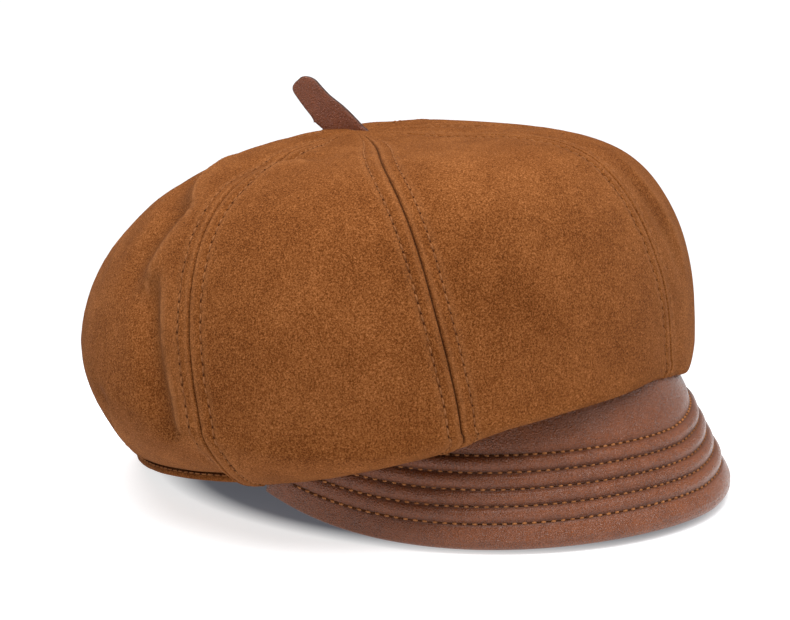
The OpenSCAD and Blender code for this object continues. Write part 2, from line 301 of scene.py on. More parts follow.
def outward(piece):
    """Turns the faces of a closed mesh outwards."""
    bm = bmesh.new()
    bm.from_mesh(piece.data)
    bmesh.ops.recalc_face_normals(bm, faces=bm.faces)
    bm.to_mesh(piece.data)
    bm.free()
    return piece


def holes(name, centres, normals, tangents, size):
    """A slightly sunk needle hole between each stitch and the next, painted dark as shade."""
    turn = np.arange(8) * math.pi / 4
    side = unit(np.cross(tangents, normals))
    rim = tangents[:, None] * np.cos(turn)[:, None] * 1.25 + side[:, None] * np.sin(turn)[:, None]
    rim = centres[:, None] + rim * size + normals[:, None] * 0.3 * size
    top, low = centres + normals * (0.3 * size + 0.08), centres - normals * 0.4
    points = np.concatenate([rim, top[:, None], low[:, None]], 1)
    faces = []
    for n in range(len(centres)):
        for j in range(8):
            a, b = n * 10 + j, n * 10 + (j + 1) % 8
            faces += [[a, b, n * 10 + 8], [b, a, n * 10 + 9]]
    return outward(make_piece(name, points.reshape(-1, 3), faces, HOLE_SHADE))


def stitches(name, paths, material, radius, pitch, gap, lift, seed, hole):
    """Separate stitches along paths, and the holes that they go through. Each path is (points, normals).

    radius is the thread's, pitch the length of a stitch with its gap, lift how far it arches off the surface,
    and hole the size of a needle hole.
    """
    rng = np.random.default_rng(seed)
    sides, samples = 6, 7
    x = np.linspace(0, 1, samples)
    arch = np.sin(math.pi * x) ** 0.6
    swell = np.array([0.45, 0.85, 1, 1.05, 1, 0.85, 0.45])
    turn = np.arange(sides) * 2 * math.pi / sides
    all_points, all_faces, at, pits = [], [], 0, []
    for points, normals in paths:
        along = distances(points)
        count = int((along[-1] - gap) / pitch)
        if count < 1:
            continue
        start = (along[-1] - count * pitch) / 2 + np.arange(count) * pitch
        jitter = rng.uniform(-0.12, 0.12, (count, 2))
        spot = np.concatenate([start, start[-1:] + pitch])
        pit = between(spot, along, points)
        up = unit(between(spot, along, normals))
        pits.append(np.stack([pit, up, unit(np.gradient(pit, axis=0))]))
        first, last = start + gap / 2 + jitter[:, 0], start + pitch - gap / 2 + jitter[:, 1]
        place = first[:, None] + (last - first)[:, None] * x
        centre = between(place, along, points)
        normal = unit(between(place, along, normals))
        tangent = unit(np.gradient(centre, axis=1))
        side = unit(np.cross(tangent, normal))
        slant = rng.uniform(-0.1, 0.1, (count, 1, 1)) * np.linspace(-1, 1, samples)[None, :, None]
        centre = centre + normal * ((arch * (lift + radius) - radius * 1.1)[None, :, None]) + side * slant
        r = radius * swell[None, :, None, None] * rng.uniform(0.92, 1.06, (count, 1, 1, 1))
        around = np.cos(turn)[:, None] * side[:, :, None] + np.sin(turn)[:, None] * normal[:, :, None]
        ring = centre[:, :, None] + r * around
        all_points.append(ring.reshape(-1, 3))
        body = grid_faces(samples, sides, 0, True)
        caps = [list(range(sides)), list(range(samples * sides - 1, (samples - 1) * sides - 1, -1))]
        for n in range(count):
            base = at + n * samples * sides
            all_faces.extend((body + base).tolist())
            all_faces.extend([[v + base for v in cap] for cap in caps])
        at += count * samples * sides
    thread = outward(make_piece(name, np.concatenate(all_points), all_faces, material))
    return thread, holes(f"{name}_holes", *np.concatenate(pits, 1), hole)


# -------- materials
class Nodes:
    """A short way to build a material's nodes."""

    def __init__(self, name):
        self.material = bpy.data.materials.new(name)
        self.material.use_nodes = True
        self.tree = self.material.node_tree
        self.shader = self.tree.nodes["Principled BSDF"]
        self.coords = self.tree.nodes.new("ShaderNodeTexCoord").outputs["Object"]

    def link(self, value, socket):
        if isinstance(value, bpy.types.NodeSocket):
            self.tree.links.new(value, socket)
        else:
            socket.default_value = value

    def noise(self, scale, detail=2.0, rough=0.55, stretch=None, distortion=0.0):
        n = self.tree.nodes.new("ShaderNodeTexNoise")
        n.inputs["Scale"].default_value = scale
        n.inputs["Detail"].default_value = detail
        n.inputs["Roughness"].default_value = rough
        n.inputs["Distortion"].default_value = distortion
        self.link(self.stretched(stretch), n.inputs["Vector"])
        return n.outputs["Fac"]

    def stretched(self, stretch):
        """The coordinates, scaled and turned where a (scale, rotation) is given."""
        if stretch is None:
            return self.coords
        m = self.tree.nodes.new("ShaderNodeMapping")
        m.inputs["Rotation"].default_value = stretch[1]
        m.inputs["Scale"].default_value = stretch[0]
        self.link(self.coords, m.inputs["Vector"])
        return m.outputs["Vector"]

    def cells(self, scale):
        n = self.tree.nodes.new("ShaderNodeTexVoronoi")
        n.feature = "DISTANCE_TO_EDGE"
        n.inputs["Scale"].default_value = scale
        self.link(self.coords, n.inputs["Vector"])
        return n.outputs["Distance"]

    def wave(self, scale, direction):
        n = self.tree.nodes.new("ShaderNodeTexWave")
        n.bands_direction = direction
        n.inputs["Scale"].default_value = scale
        n.inputs["Distortion"].default_value = 0.6
        self.link(self.coords, n.inputs["Vector"])
        return n.outputs["Fac"]

    def math(self, operation, a, b):
        n = self.tree.nodes.new("ShaderNodeMath")
        n.operation = operation
        self.link(a, n.inputs[0])
        self.link(b, n.inputs[1])
        return n.outputs[0]

    def total(self, base, *terms):
        """base plus each (value, weight), with the value taken about its middle, 0.5."""
        out = base
        for value, weight in terms:
            out = self.math("ADD", out, self.math("MULTIPLY", self.math("SUBTRACT", value, 0.5), weight))
        return out

    def ramp(self, value, *stops):
        n = self.tree.nodes.new("ShaderNodeValToRGB")
        elements = n.color_ramp.elements
        while len(elements) < len(stops):
            elements.new(0.5)
        for element, (place, colour) in zip(elements, stops):
            element.position = place
            element.color = (*colour, 1)
        self.link(value, n.inputs["Fac"])
        return n.outputs["Color"]

    def blend(self, factor, socket, colour):
        """The socket's colour, turned to the given colour as far as factor says."""
        n = self.tree.nodes.new("ShaderNodeMix")
        n.data_type = "RGBA"
        self.link(factor, n.inputs["Factor"])
        self.link(socket, n.inputs["A"])
        self.link((*colour, 1), n.inputs["B"])
        return n.outputs["Result"]

    def attribute(self, name):
        n = self.tree.nodes.new("ShaderNodeAttribute")
        n.attribute_name = name
        return n.outputs["Fac"]

    def bump(self, height, distance, strength=1.0, under=None):
        n = self.tree.nodes.new("ShaderNodeBump")
        n.inputs["Distance"].default_value = distance
        n.inputs["Strength"].default_value = strength
        self.link(height, n.inputs["Height"])
        if under is not None:
            self.link(under, n.inputs["Normal"])
        return n.outputs["Normal"]

    def finish(self, colour, normal, roughness, **constants):
        self.link(colour, self.shader.inputs["Base Color"])
        self.link(normal, self.shader.inputs["Normal"])
        self.link(roughness, self.shader.inputs["Roughness"])
        for key, value in constants.items():
            self.shader.inputs[key.replace("_", " ")].default_value = value
        return self.material


def suede_material(name):
    n = Nodes(name)
    broad = n.noise(14, 2)
    patch = n.noise(70, 3, 0.6)
    mottle = n.noise(380, 3, 0.6)
    nap = n.noise(1650, 3, 0.85)
    tone = n.total(0.5, (broad, 0.3), (patch, 0.32), (mottle, 0.15), (nap, 2.1))
    dark, mid, light = (0.056, 0.014, 0.003), (0.176, 0.054, 0.0118), (0.37, 0.142, 0.045)
    colour = n.ramp(tone, (0.12, dark), (0.5, mid), (0.88, light))
    # Painted highlight: lighter on the ridges beside the seams and along the folds
    colour = n.blend(n.attribute("painted_highlight"), colour, (0.40, 0.165, 0.062))
    # Painted shade: darker down the seams, in the stitch grooves, along the hem's groove and in the dents
    # beside the folds
    colour = n.blend(n.attribute("painted_shade"), colour, (0.045, 0.012, 0.003))
    rough = n.total(0.93, (patch, 0.08))
    normal = n.bump(nap, 0.0005, 0.75)
    normal = n.bump(mottle, 0.0006, 0.3, normal)
    return n.finish(
        colour,
        normal,
        rough,
        Sheen_Weight=0.05,
        Sheen_Roughness=0.5,
        Sheen_Tint=(1.0, 0.6, 0.35, 1),
        Specular_IOR_Level=0.03,
    )


def leather_material(name, dark, mid, light, rough):
    n = Nodes(name)
    broad = n.noise(30, 2)
    cloud = n.noise(140, 3, 0.6)
    pores = n.cells(1150)
    grain = n.noise(850, 3, 0.65)
    crease = n.noise(380, 4, 0.6, ((1.0, 3.6, 1.6), (0.5, 0.35, 0.9)), 0.8)
    tone = n.total(0.44, (broad, 0.25), (cloud, 0.3), (grain, 0.15), (crease, 0.3), (pores, 0.3))
    colour = n.ramp(tone, (0.2, dark), (0.5, mid), (0.85, light))
    # The groove mark darkens: painted shade along the bill's stitched grooves; on the tab it is the leather's
    # own dark edge paint
    colour = n.blend(n.attribute("groove"), colour, (0.018, 0.005, 0.003))
    roughness = n.total(rough, (cloud, 0.16), (grain, 0.14))
    roughness = n.math("ADD", roughness, n.math("MULTIPLY", n.attribute("groove"), 0.5))
    normal = n.bump(pores, 0.0006, 0.9)
    normal = n.bump(crease, 0.0005, 0.85, normal)
    normal = n.bump(grain, 0.00012, 0.7, normal)
    return n.finish(colour, normal, roughness, Specular_IOR_Level=0.42, Coat_Weight=0.09, Coat_Roughness=0.2)


def thread_material(name, dark, light, rough):
    n = Nodes(name)
    twist = n.noise(2600, 2, 0.5, ((1.0, 1.0, 2.5), (0.7, 0.4, 0.2)))
    tint = n.noise(90, 2)
    colour = n.ramp(n.total(0.5, (twist, 0.8), (tint, 0.5)), (0.2, dark), (0.8, light))
    return n.finish(colour, n.bump(twist, 0.0002, 0.7), n.total(rough, (twist, 0.2)), Specular_IOR_Level=0.08)


def weave_material(name, dark, light, scale, rough, sheen):
    n = Nodes(name)
    warp, weft, rise = n.wave(scale, "X"), n.wave(scale, "Y"), n.wave(scale, "Z")
    cloth = n.math("MULTIPLY", n.math("ADD", warp, weft), n.math("ADD", rise, 0.35))
    cloud = n.noise(60, 3)
    tone = n.total(0.35, (cloud, 0.5), (cloth, 0.25))
    colour = n.ramp(tone, (0.1, dark), (0.8, light))
    return n.finish(
        colour,
        n.bump(cloth, 0.00012, 0.6),
        n.total(rough, (cloud, 0.15)),
        Sheen_Weight=sheen,
        Sheen_Roughness=0.35,
        Specular_IOR_Level=0.35,
    )


def core_material(name, dark, light, cell_scale):
    """Foam or board: pale, with fine cells or fibres."""
    n = Nodes(name)
    cells, cloud = n.cells(cell_scale), n.noise(70, 4)
    colour = n.ramp(n.total(0.5, (cells, 0.6), (cloud, 0.6)), (0.2, dark), (0.8, light))
    return n.finish(colour, n.bump(cells, 0.0002, 0.5), n.total(0.85, (cloud, 0.1)), Specular_IOR_Level=0.2)


SUEDE = suede_material("suede")
BRIM_LEATHER = leather_material(
    "brim_leather", (0.115, 0.029, 0.007), (0.215, 0.057, 0.013), (0.35, 0.120, 0.036), rough=0.28
)
# Leather like the top's, made darker: painted shade under the bill
SHADED_UNDER_LEATHER = leather_material(
    "shaded_under_leather", (0.08, 0.025, 0.012), (0.135, 0.044, 0.022), (0.19, 0.072, 0.04), rough=0.55
)
TAB_LEATHER = leather_material(
    "tab_leather", (0.18, 0.048, 0.017), (0.30, 0.09, 0.035), (0.41, 0.155, 0.08), rough=0.33
)
BAND_LEATHER = leather_material(
    "band_leather", (0.06, 0.022, 0.010), (0.11, 0.04, 0.018), (0.17, 0.07, 0.036), rough=0.5
)
# Needle holes: a dark colour as painted shade
HOLE_SHADE = thread_material("stitch_hole_shade", (0.042, 0.013, 0.004), (0.08, 0.025, 0.007), 0.9)
SUEDE_THREAD = thread_material("suede_thread", (0.11, 0.034, 0.009), (0.40, 0.165, 0.06), 0.9)
BRIM_THREAD = thread_material("brim_thread", (0.18, 0.06, 0.018), (0.46, 0.19, 0.07), 0.7)
LINING = weave_material("lining", (0.055, 0.030, 0.018), (0.13, 0.075, 0.046), 420.0, 0.6, 0.3)
TAPE = weave_material("tape", (0.045, 0.028, 0.019), (0.10, 0.065, 0.045), 300.0, 0.85, 0.1)
FOAM = core_material("padding", (0.45, 0.38, 0.26), (0.68, 0.6, 0.45), 1400.0)
BOARD = core_material("board", (0.6, 0.58, 0.52), (0.82, 0.8, 0.75), 700.0)


# -------- crown
def climb_rows(step):
    """Climbs that are about step apart along the middle of the crown's side."""
    dense = np.concatenate([np.linspace(-89, 0, 400, endpoint=False), np.linspace(0, 89.85, 900)])
    lengths = []
    for a in (20, 110, 200, 290):
        lengths.append(distances(crown_point(np.full(dense.shape, float(a)), dense)))
    along = np.mean(lengths, 0)
    return np.interp(np.linspace(0, along[-1], int(along[-1] / step)), along, dense)


def fold_line(*stops):
    """Points along a fold on the crown, from (direction, climb) stops."""
    stops = np.array(stops, float)
    t = np.linspace(0, len(stops) - 1, 60)
    a = np.interp(t, range(len(stops)), stops[:, 0])
    c = np.interp(t, range(len(stops)), stops[:, 1])
    return crown_point(a, c)


# Each fold: its line, its height and width, the depth, distance and width of the dip beside it, and its side
FOLDS = [
    (fold_line((126, 69), (112, 58), (97, 45), (101, 29), (103, 18)), 2.1, 2.2, 2.6, 8.0, 7.0, 1),
    (fold_line((97.5, 31), (96, 20), (94.5, 5), (94, -6)), 2.0, 1.5, 4.2, 7.0, 6.0, 1),
    (fold_line((129, 38), (120, 31), (117, 20)), 0.6, 1.8, 0.5, 5.0, 4.0, 1),
    (fold_line((111, -8), (116, -31), (123, -52), (125, -68)), 1.8, 1.7, 2.4, 5.5, 4.5, 1),
    (fold_line((88, 52), (86, 64), (78, 66), (70, 63)), 1.3, 2.8, 1.8, 7.0, 6.0, -1),
    (fold_line((340, 46), (341, 35), (338.5, 21), (337.5, 9)), 1.1, 2.4, 1.8, 7.0, 6.0, 1),
    (fold_line((205, 50), (214, 30), (209, 8), (204, -20)), 0.4, 5.0, 1.5, 11.0, 11.0, 1),
    (fold_line((158, 62), (163, 40), (154, 18), (156, -12)), 0.4, 5.0, 1.4, 10.0, 10.0, -1),
    (fold_line((281, 44), (289, 24), (284, -4), (281, -35)), 0.4, 5.0, 1.5, 11.0, 11.0, -1),
    (fold_line((246, 60), (243, 35), (250, 10)), 0.3, 5.0, 1.2, 10.0, 10.0, 1),
]


def fold_relief(points):
    """Height, painted highlight and painted shade that the folds add at points on the crown."""
    flat = points.reshape(-1, 3)
    height, painted_highlight, shade = np.zeros((3, len(flat)))
    for line, rise, width, dip, off, dip_width, side in FOLDS:
        near = np.linalg.norm(flat[:, None] - line[None, ::3], axis=2)
        close = near.min(1) < 34
        sub = flat[close]
        gap = np.linalg.norm(sub[:, None] - line[None], axis=2)
        i = gap.argmin(1)
        d = gap[np.arange(len(i)), i]
        tangent = unit(np.gradient(line, axis=0))[i]
        outwards = unit(sub - np.array([0, 0, 40.0]))
        across = np.sign((np.cross(tangent, outwards) * (sub - line[i])).sum(-1)) * side
        taper = (0.5 - 0.15 * rise) * len(line)
        ends = smooth(i / taper) * smooth((len(line) - 1 - i) / taper)
        signed = d * across
        crisp = np.exp(-np.abs(signed) / (1.7 * width))
        height[close] += ends * (rise * crisp - dip * hump(signed - off, dip_width))
        # A painted highlight along each fold's ridge and just beside it
        painted_highlight[close] += ends * (0.3 * rise - 0.1) * hump(signed, 0.9) + ends * 0.1 * hump(signed + 2.5, 3.0)
        # Painted shade in the dent beside each fold
        shade[close] += ends * 0.22 * hump(signed - 0.7 * off, 0.7 * dip_width)
    return [layer.reshape(points.shape[:-1]) for layer in (height, painted_highlight, shade)]


ROW_CLIMBS = climb_rows(1.5)
NEAR_SEAM = [0, 0.15, 0.32, 0.6, 1.0, 1.6, 2.3, 3.2, 3.9, 4.35, 4.7, 5.0, 5.3, 5.7, 6.4, 7.8, 10, 12.5, 15]
MIDDLE_COLUMNS = 34
puckers = [noise_1d(40 + k, 260, 3.1) for k in range(2 * GORES)]
long_puckers = [noise_1d(80 + k, 260, 9.0) for k in range(2 * GORES)]


def gore_ribs(k, climbs):
    """Points across gore k from seam to seam, one row of them for each climb."""
    fine = np.linspace(0, 1, 25)
    return crown_point(SEAMS[k] + (SEAMS[k + 1] - SEAMS[k]) * fine[None, :], climbs[:, None])


def gore_widths(ribs):
    """The width of each row, and how far its seam details draw together where the gore narrows."""
    width = np.linalg.norm(np.diff(ribs, axis=1), axis=2).sum(1)[:, None]
    return width, np.minimum(1, width / CROWDED_WIDTH)


def gore_field(k, share, climb):
    """Points of gore k with their normals, painted shade and painted highlight. share and climb are grids of
    the same shape.
    """
    a = SEAMS[k] + (SEAMS[k + 1] - SEAMS[k]) * share
    base, normal = crown_point(a, climb), crown_normal(a, climb)
    ribs = gore_ribs(k, climb[:, 0])
    width, crowd = gore_widths(ribs)
    along = distances(ribs[:, 12])[:, None]
    flat_share = FLAT_BY_SEAM * crowd / width
    height = SEAM_DIP * (np.sin(math.pi * np.clip(share, flat_share, 1 - flat_share)) ** 0.7 - 0.5)
    height = height * np.cos(climb * RAD) ** 0.5
    painted_shade, painted_highlight = np.zeros(share.shape), np.zeros(share.shape)
    for side in (0, 1):
        d = (share if side == 0 else 1 - share) * width / crowd
        n = 2 * k + side
        pucker, slow = puckers[n](along), long_puckers[n](along)
        height = height - crowd * 0.7 * hump(d, 0.3)
        height = height + crowd * (0.42 + 0.12 * slow) * smooth(d / 0.8) * (1 - smooth((d - 4.4) / 1.7))
        height = height - crowd * 0.45 * hump(d - TOPSTITCH, 0.55)
        height = height + crowd * 0.26 * pucker * hump(d - TOPSTITCH, 2.4)
        height = height + crowd * 0.3 * slow * hump(d - 9, 5.0)
        # Painted shade down the seam and in its stitch groove
        painted_shade = painted_shade + 0.8 * hump(d, 0.2) + 0.16 * hump(d - TOPSTITCH, 0.5)
        # Painted highlight on the ridges either side of the stitch groove
        painted_highlight = painted_highlight + 0.2 * hump(d - 1.5, 0.7) + 0.14 * hump(d - 6.1, 0.8)
    folds, fold_highlight, shade = fold_relief(base)
    height = height + folds + 0.7 * noise_3d(base, 38, 5) + 0.25 * noise_3d(base, 15, 6)
    painted_highlight, painted_shade = painted_highlight + fold_highlight, painted_shade + shade
    return base + normal * height[..., None], normal, np.clip(painted_shade, 0, 0.9), np.clip(painted_highlight, 0, 0.6)


def gore_columns(width, crowd):
    """Column shares for each row: close together near both seams."""
    near = np.array(NEAR_SEAM)[None, :] * crowd / width
    half = near[:, -1:]
    middle = half + (1 - 2 * half) * np.linspace(0, 1, MIDDLE_COLUMNS + 2)[None, 1:-1]
    return np.concatenate([near, middle, 1 - near[:, ::-1]], 1)


def gore_panel(k):
    """Gore k with its outside and inside, its flat size in metres and its flat area in square metres."""
    width, crowd = gore_widths(gore_ribs(k, ROW_CLIMBS))
    share = gore_columns(width, crowd)
    climb = np.repeat(ROW_CLIMBS[:, None], share.shape[1], 1)
    outer, normal, painted_shade, painted_highlight = gore_field(k, share, climb)
    hem = 1 - smooth(np.arange(len(ROW_CLIMBS)) / 9)[:, None, None]
    inner = outer - normal * (SUEDE_THICK + 0.9 * hem)
    # A rounded lower edge: a few rows turn the outside over to the inside
    lead = unit(outer[0] - outer[1])
    turn = [math.pi * x for x in (0.16, 0.33, 0.5, 0.67, 0.84)]
    half = np.linalg.norm(outer[0] - inner[0], axis=-1, keepdims=True) / 2
    middle = (outer[0] + inner[0]) / 2
    roll = [middle + half * (math.cos(x) * normal[0] + math.sin(x) * lead) for x in turn]
    loop = np.concatenate([inner[::-1], np.stack(roll[::-1]), outer])
    rows, cols = loop.shape[:2]
    faces = [grid_faces(rows, cols)]
    # Join the layers along the two sides and the top
    low = np.arange(rows // 2)
    for col, flip in ((0, True), (cols - 1, False)):
        a, b = low * cols + col, (rows - 1 - low) * cols + col
        quad = np.stack([a[:-1], a[1:], b[1:], b[:-1]], -1)
        faces.append(quad[:, ::-1] if flip else quad)
    j = np.arange(cols - 1)
    top = (rows - 1) * cols
    faces.append(np.stack([j + 1, j, top + j, top + j + 1], -1))
    zero = np.zeros((len(ROW_CLIMBS), cols))
    edge = np.zeros((len(roll), cols))
    marks = {
        "painted_shade": np.concatenate([zero, edge, painted_shade]),
        "painted_highlight": np.concatenate([zero, edge, painted_highlight]),
    }
    mesh_faces = np.concatenate(faces).tolist()
    piece = outward(make_piece(f"gore_panel_{k + 1}", loop.reshape(-1, 3), mesh_faces, SUEDE, marks))
    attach(piece, "crown")
    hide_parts(f"gore_{k + 1}")
    middle_steps = steps(outer[:, cols // 2])
    area = float((width[:-1, 0] + width[1:, 0]).dot(middle_steps) / 2)
    flat = (round(width.max() / 1000, 3), round(float(middle_steps.sum()) / 1000, 3))
    return piece, flat, area / 1e6


gores = [gore_panel(k) for k in range(GORES)]


def gore_stitch_paths():
    paths = []
    rows = ROW_CLIMBS[(ROW_CLIMBS > -86) & (ROW_CLIMBS < 84)]
    for k in range(GORES):
        width, crowd = gore_widths(gore_ribs(k, rows))
        for side in (0, 1):
            share = TOPSTITCH * crowd / width
            share = share if side == 0 else 1 - share
            point, normal, _, _ = gore_field(k, share, rows[:, None])
            paths.append((point[:, 0], normal[:, 0]))
    return paths


gore_rows = gore_stitch_paths()
gore_threads = stitches(
    "gore_stitches", gore_rows, SUEDE_THREAD, radius=0.34, pitch=3.7, gap=0.8, lift=0.22, seed=11, hole=0.36
)
for piece in gore_threads:
    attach(piece, "crown")
    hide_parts("gore_stitching")


# -------- lining, hem and sweatband
def lining_panel(k):
    """Lining panel k, with its flat size in metres and its flat area in square metres."""
    climbs = np.concatenate([np.linspace(12, 84, 40), [86, 87.5, 88.6]])
    share = np.linspace(0, 1, 27)
    a = SEAMS[k] + 0.15 + (SEAMS[k + 1] - SEAMS[k] - 0.3) * share
    deep = SUEDE_THICK + TAPE_ROOM + TAPE_THICK + LAYER_GAP + SEAM_DIP / 2
    hang = crown_point(a[None, :], climbs[:, None]) - crown_normal(a[None, :], climbs[:, None]) * deep
    start = ring_point(a, 2.6, 5 + LIP_HEIGHT)
    t = np.linspace(0, 1, 16)[:-1, None, None]
    droop = 1.6 * np.sin(math.pi * t) * (0.5 + 0.5 * noise_3d(hang[0], 14, 60 + k))[None, :, None]
    skirt = start * (1 - t) + hang[0] * t
    skirt = skirt + np.array([0, 0, 1.0]) * droop
    grid = np.concatenate([skirt, hang])
    slack = np.sin(math.pi * share)[None, :, None] ** 0.6
    inwards = -unit(np.gradient(grid, axis=0))
    n = unit(np.cross(np.gradient(grid, axis=1), inwards))
    n = n * np.sign((n * (grid - np.array([0, 15.0, 50]))).sum(-1, keepdims=True))
    grid = grid - n * slack * (0.6 + 0.6 * noise_3d(grid, 22, 70 + k)[..., None])
    points, faces = shell(grid, grid - n * LINING_THICK)
    piece = outward(make_piece(f"lining_panel_{k + 1}", points, faces, LINING))
    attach(piece, "crown")
    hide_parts(f"lining_{k + 1}")
    widths = np.linalg.norm(np.diff(grid, axis=1), axis=2).sum(1)
    middle_steps = steps(grid[:, 13])
    flat = (round(widths.max() / 1000, 3), round(middle_steps.sum() / 1000, 3))
    return piece, flat, float(((widths[1:] + widths[:-1]) / 2).dot(middle_steps) / 1e6)


linings = [lining_panel(k) for k in range(GORES)]

RING = np.linspace(0, 360, 480, endpoint=False)


def ring_fade(reach):
    """1 round the ring, falling to 0 at its start, so that a random curve round it closes."""
    return np.minimum(1, np.minimum(RING, 360 - RING) / reach)


def hem_roll():
    """The turned hem: a soft rounded strip below the gores, pulled in where it is stitched."""
    spin = np.linspace(0, 2 * math.pi, 22, endpoint=False)
    half_h, half_t = LIP_HEIGHT / 2, LIP_THICK / 2
    x = signed_power(np.cos(spin), 0.7) * half_t
    z = signed_power(np.sin(spin), 0.75) * half_h
    wobble = noise_1d(301, 370, 2.6)(RING) * 0.12 + noise_1d(302, 370, 9)(RING) * 0.16
    wobble = wobble * ring_fade(12)
    rows = []
    for dx, dz in zip(x, z):
        out = dx * (1 + 0.25 * (dz < 0.3))
        groove = 0.3 * hump(dz - 1.1, 0.5) * (dx > 0)
        rows.append(ring_point(RING, half_t - out - wobble * (dx > 0) + groove, half_h + dz))
    grid = np.stack(rows)
    count = len(RING)
    faces = grid_faces(len(spin), count, 0, True).tolist()
    last = (len(spin) - 1) * count
    faces += [[last + j, last + (j + 1) % count, (j + 1) % count, j] for j in range(count)]
    # Painted shade along the hem's stitched groove
    shade = [0.75 * float(hump(dz - 1.3, 0.45)) * (dx > 0) for dx, dz in zip(x, z)]
    dark = np.stack([np.full(count, value) for value in shade])
    marks = {"painted_shade": dark, "painted_highlight": dark * 0}
    piece = outward(make_piece("hem_roll", grid.reshape(-1, 3), faces, SUEDE, marks))
    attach(piece, "crown")
    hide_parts("hem_band")
    return piece


hem = hem_roll()


def ring_path(inset, up, outside):
    """One line of stitches round the opening, on its outside or its inside."""
    a = np.linspace(0, 360, 721)
    p = ring_point(a, inset, up)
    n = polar(a, np.full(a.shape, 1.0 if outside else -1.0), 0.0)
    return [(p, unit(n))]


hem_path = ring_path(-0.1, LIP_HEIGHT * 0.74, True)
hem_threads = stitches(
    "hem_stitches", hem_path, SUEDE_THREAD, radius=0.32, pitch=3.6, gap=0.8, lift=0.3, seed=12, hole=0.4
)
for piece in hem_threads:
    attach(piece, "crown")
    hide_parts("hem_stitching")


def sweatband():
    """A leather band with a turned upper edge, a little wavy where it hangs free."""
    profile = [(0.0, 0.6), (0.0, 3), (0.0, 8), (0.0, 14), (0.0, 20), (0.0, 24), (0.0, 25.4), (0.25, 26.0)]
    wave = noise_1d(401, 370, 11)(RING) * ring_fade(20)
    outer, inner = [], []
    for inset, up in profile:
        sway = 0.45 * smooth((up - 8) / 16) * wave
        outer.append(ring_point(RING, SWEATBAND_INSET + inset + sway, up))
        inner.append(ring_point(RING, SWEATBAND_INSET + SWEATBAND_THICK - inset * 0.4 + sway, up))
    points, faces = shell(np.stack(outer), np.stack(inner), True)
    marks = {"groove": np.zeros(len(points))}
    piece = outward(make_piece("sweatband_leather", points, faces, BAND_LEATHER, marks))
    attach(piece, "crown")
    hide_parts("sweatband")
    return piece


band = sweatband()
band_path = ring_path(4.75, 4.0, False)
band_threads = stitches(
    "sweatband_stitches",
    band_path,
    SUEDE_THREAD,
    radius=0.32, pitch=3.4, gap=0.7, lift=0.3, seed=13, hole=0.4,
)
for piece in band_threads:
    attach(piece, "crown")
    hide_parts("sweatband_stitching")


# -------- bill
def bill_point(u, v, out):
    """Where the flat bill's point (u, v), raised by out, lies on the curved bill."""
    bend, slope = u / BILL_RADIUS, BILL_SLOPE * RAD
    drop = (BILL_RADIUS + out) * np.cos(bend) - BILL_RADIUS
    y = -(BILL_Y + v * np.cos(slope) + drop * np.sin(slope))
    z = BILL_Z - v * np.sin(slope) + drop * np.cos(slope)
    return np.stack([(BILL_RADIUS + out) * np.sin(bend), y, z], -1)


def bill_normal(u, v):
    return unit(bill_point(u, v, 1.0) - bill_point(u, v, 0.0))


def outline(t):
    s, c = np.sin(t * RAD), np.cos(t * RAD)
    across = BILL_HALF * signed_power(s, 2 / BILL_POWER)
    return np.stack([across, BILL_MID + BILL_DEPTH * c ** (2 / BILL_POWER)], -1)


def inset_outline(t, inset):
    d = outline(t + 0.2) - outline(t - 0.2)
    return outline(t) + unit(np.stack([d[..., 1], -d[..., 0]], -1)) * inset[..., None]


def root_v(u):
    return ROOT_MIDDLE - ROOT_FALL * (u / BILL_CORNER) ** 2


def thinning(u):
    return 1 - THIN_SHARE * smooth((np.abs(u) - THIN_FROM) / (THIN_TO - THIN_FROM))


CORNER_T = math.degrees(math.asin((BILL_CORNER / BILL_HALF) ** (BILL_POWER / 2)))
ROW_INSETS = ROW_MARGIN + ROW_SPACING * np.arange(ROWS)


def bill_columns(step):
    """Outline parameters about step apart along the bill's edge, and the edge's length."""
    t = np.linspace(-CORNER_T, CORNER_T, 2401)
    along = distances(outline(t))
    return np.interp(np.linspace(0, along[-1], int(along[-1] / step)), along, t), along[-1]


def root_distance(t):
    """How far inwards from the edge each column meets the crown."""
    e = np.linspace(0, 110, 441)
    p = inset_outline(t[:, None] * np.ones(len(e)), np.ones((len(t), 1)) * e)
    beyond = p[..., 1] < root_v(p[..., 0])
    return e[np.where(beyond.any(1), beyond.argmax(1), len(e) - 1)]


row_swell = [noise_1d(500 + i, 500, 17.0) for i in range(ROWS + 2)]


def quilt(e, along, u, depth=1.0):
    """Height of the padded leather: ridges between the rows of stitches, and a soft roll at the edge, with
    painted shade along each row.
    """
    height, groove = np.zeros(e.shape), np.zeros(e.shape)
    bounds = np.concatenate([[0.6], ROW_INSETS])
    for i in range(ROWS):
        lo, hi = bounds[i], bounds[i + 1]
        x = np.clip((e - lo) / (hi - lo), 0, 1)
        rise = (0.7 if i == 0 else 1.5) * (1 + 0.2 * row_swell[i](along))
        height = height + rise * np.sin(math.pi * x) ** 0.8
    height = height + 0.7 * smooth((e - ROW_INSETS[-1]) / 4.5)
    for inset in ROW_INSETS:
        height = height - 0.35 * hump(e - inset, 0.55)
        # Painted shade along each row's groove
        groove = groove + 0.5 * hump(e - inset, 0.9)
    return height * thinning(u) * depth, np.clip(groove, 0, 0.95)


BILL_T, edge_length = bill_columns(1.3)
BILL_ALONG = np.linspace(0, edge_length, len(BILL_T))
BILL_REACH = root_distance(BILL_T)
TOP_INSETS = np.concatenate([np.arange(RIM_START, 35, 0.6), np.linspace(36, 100, 22)])


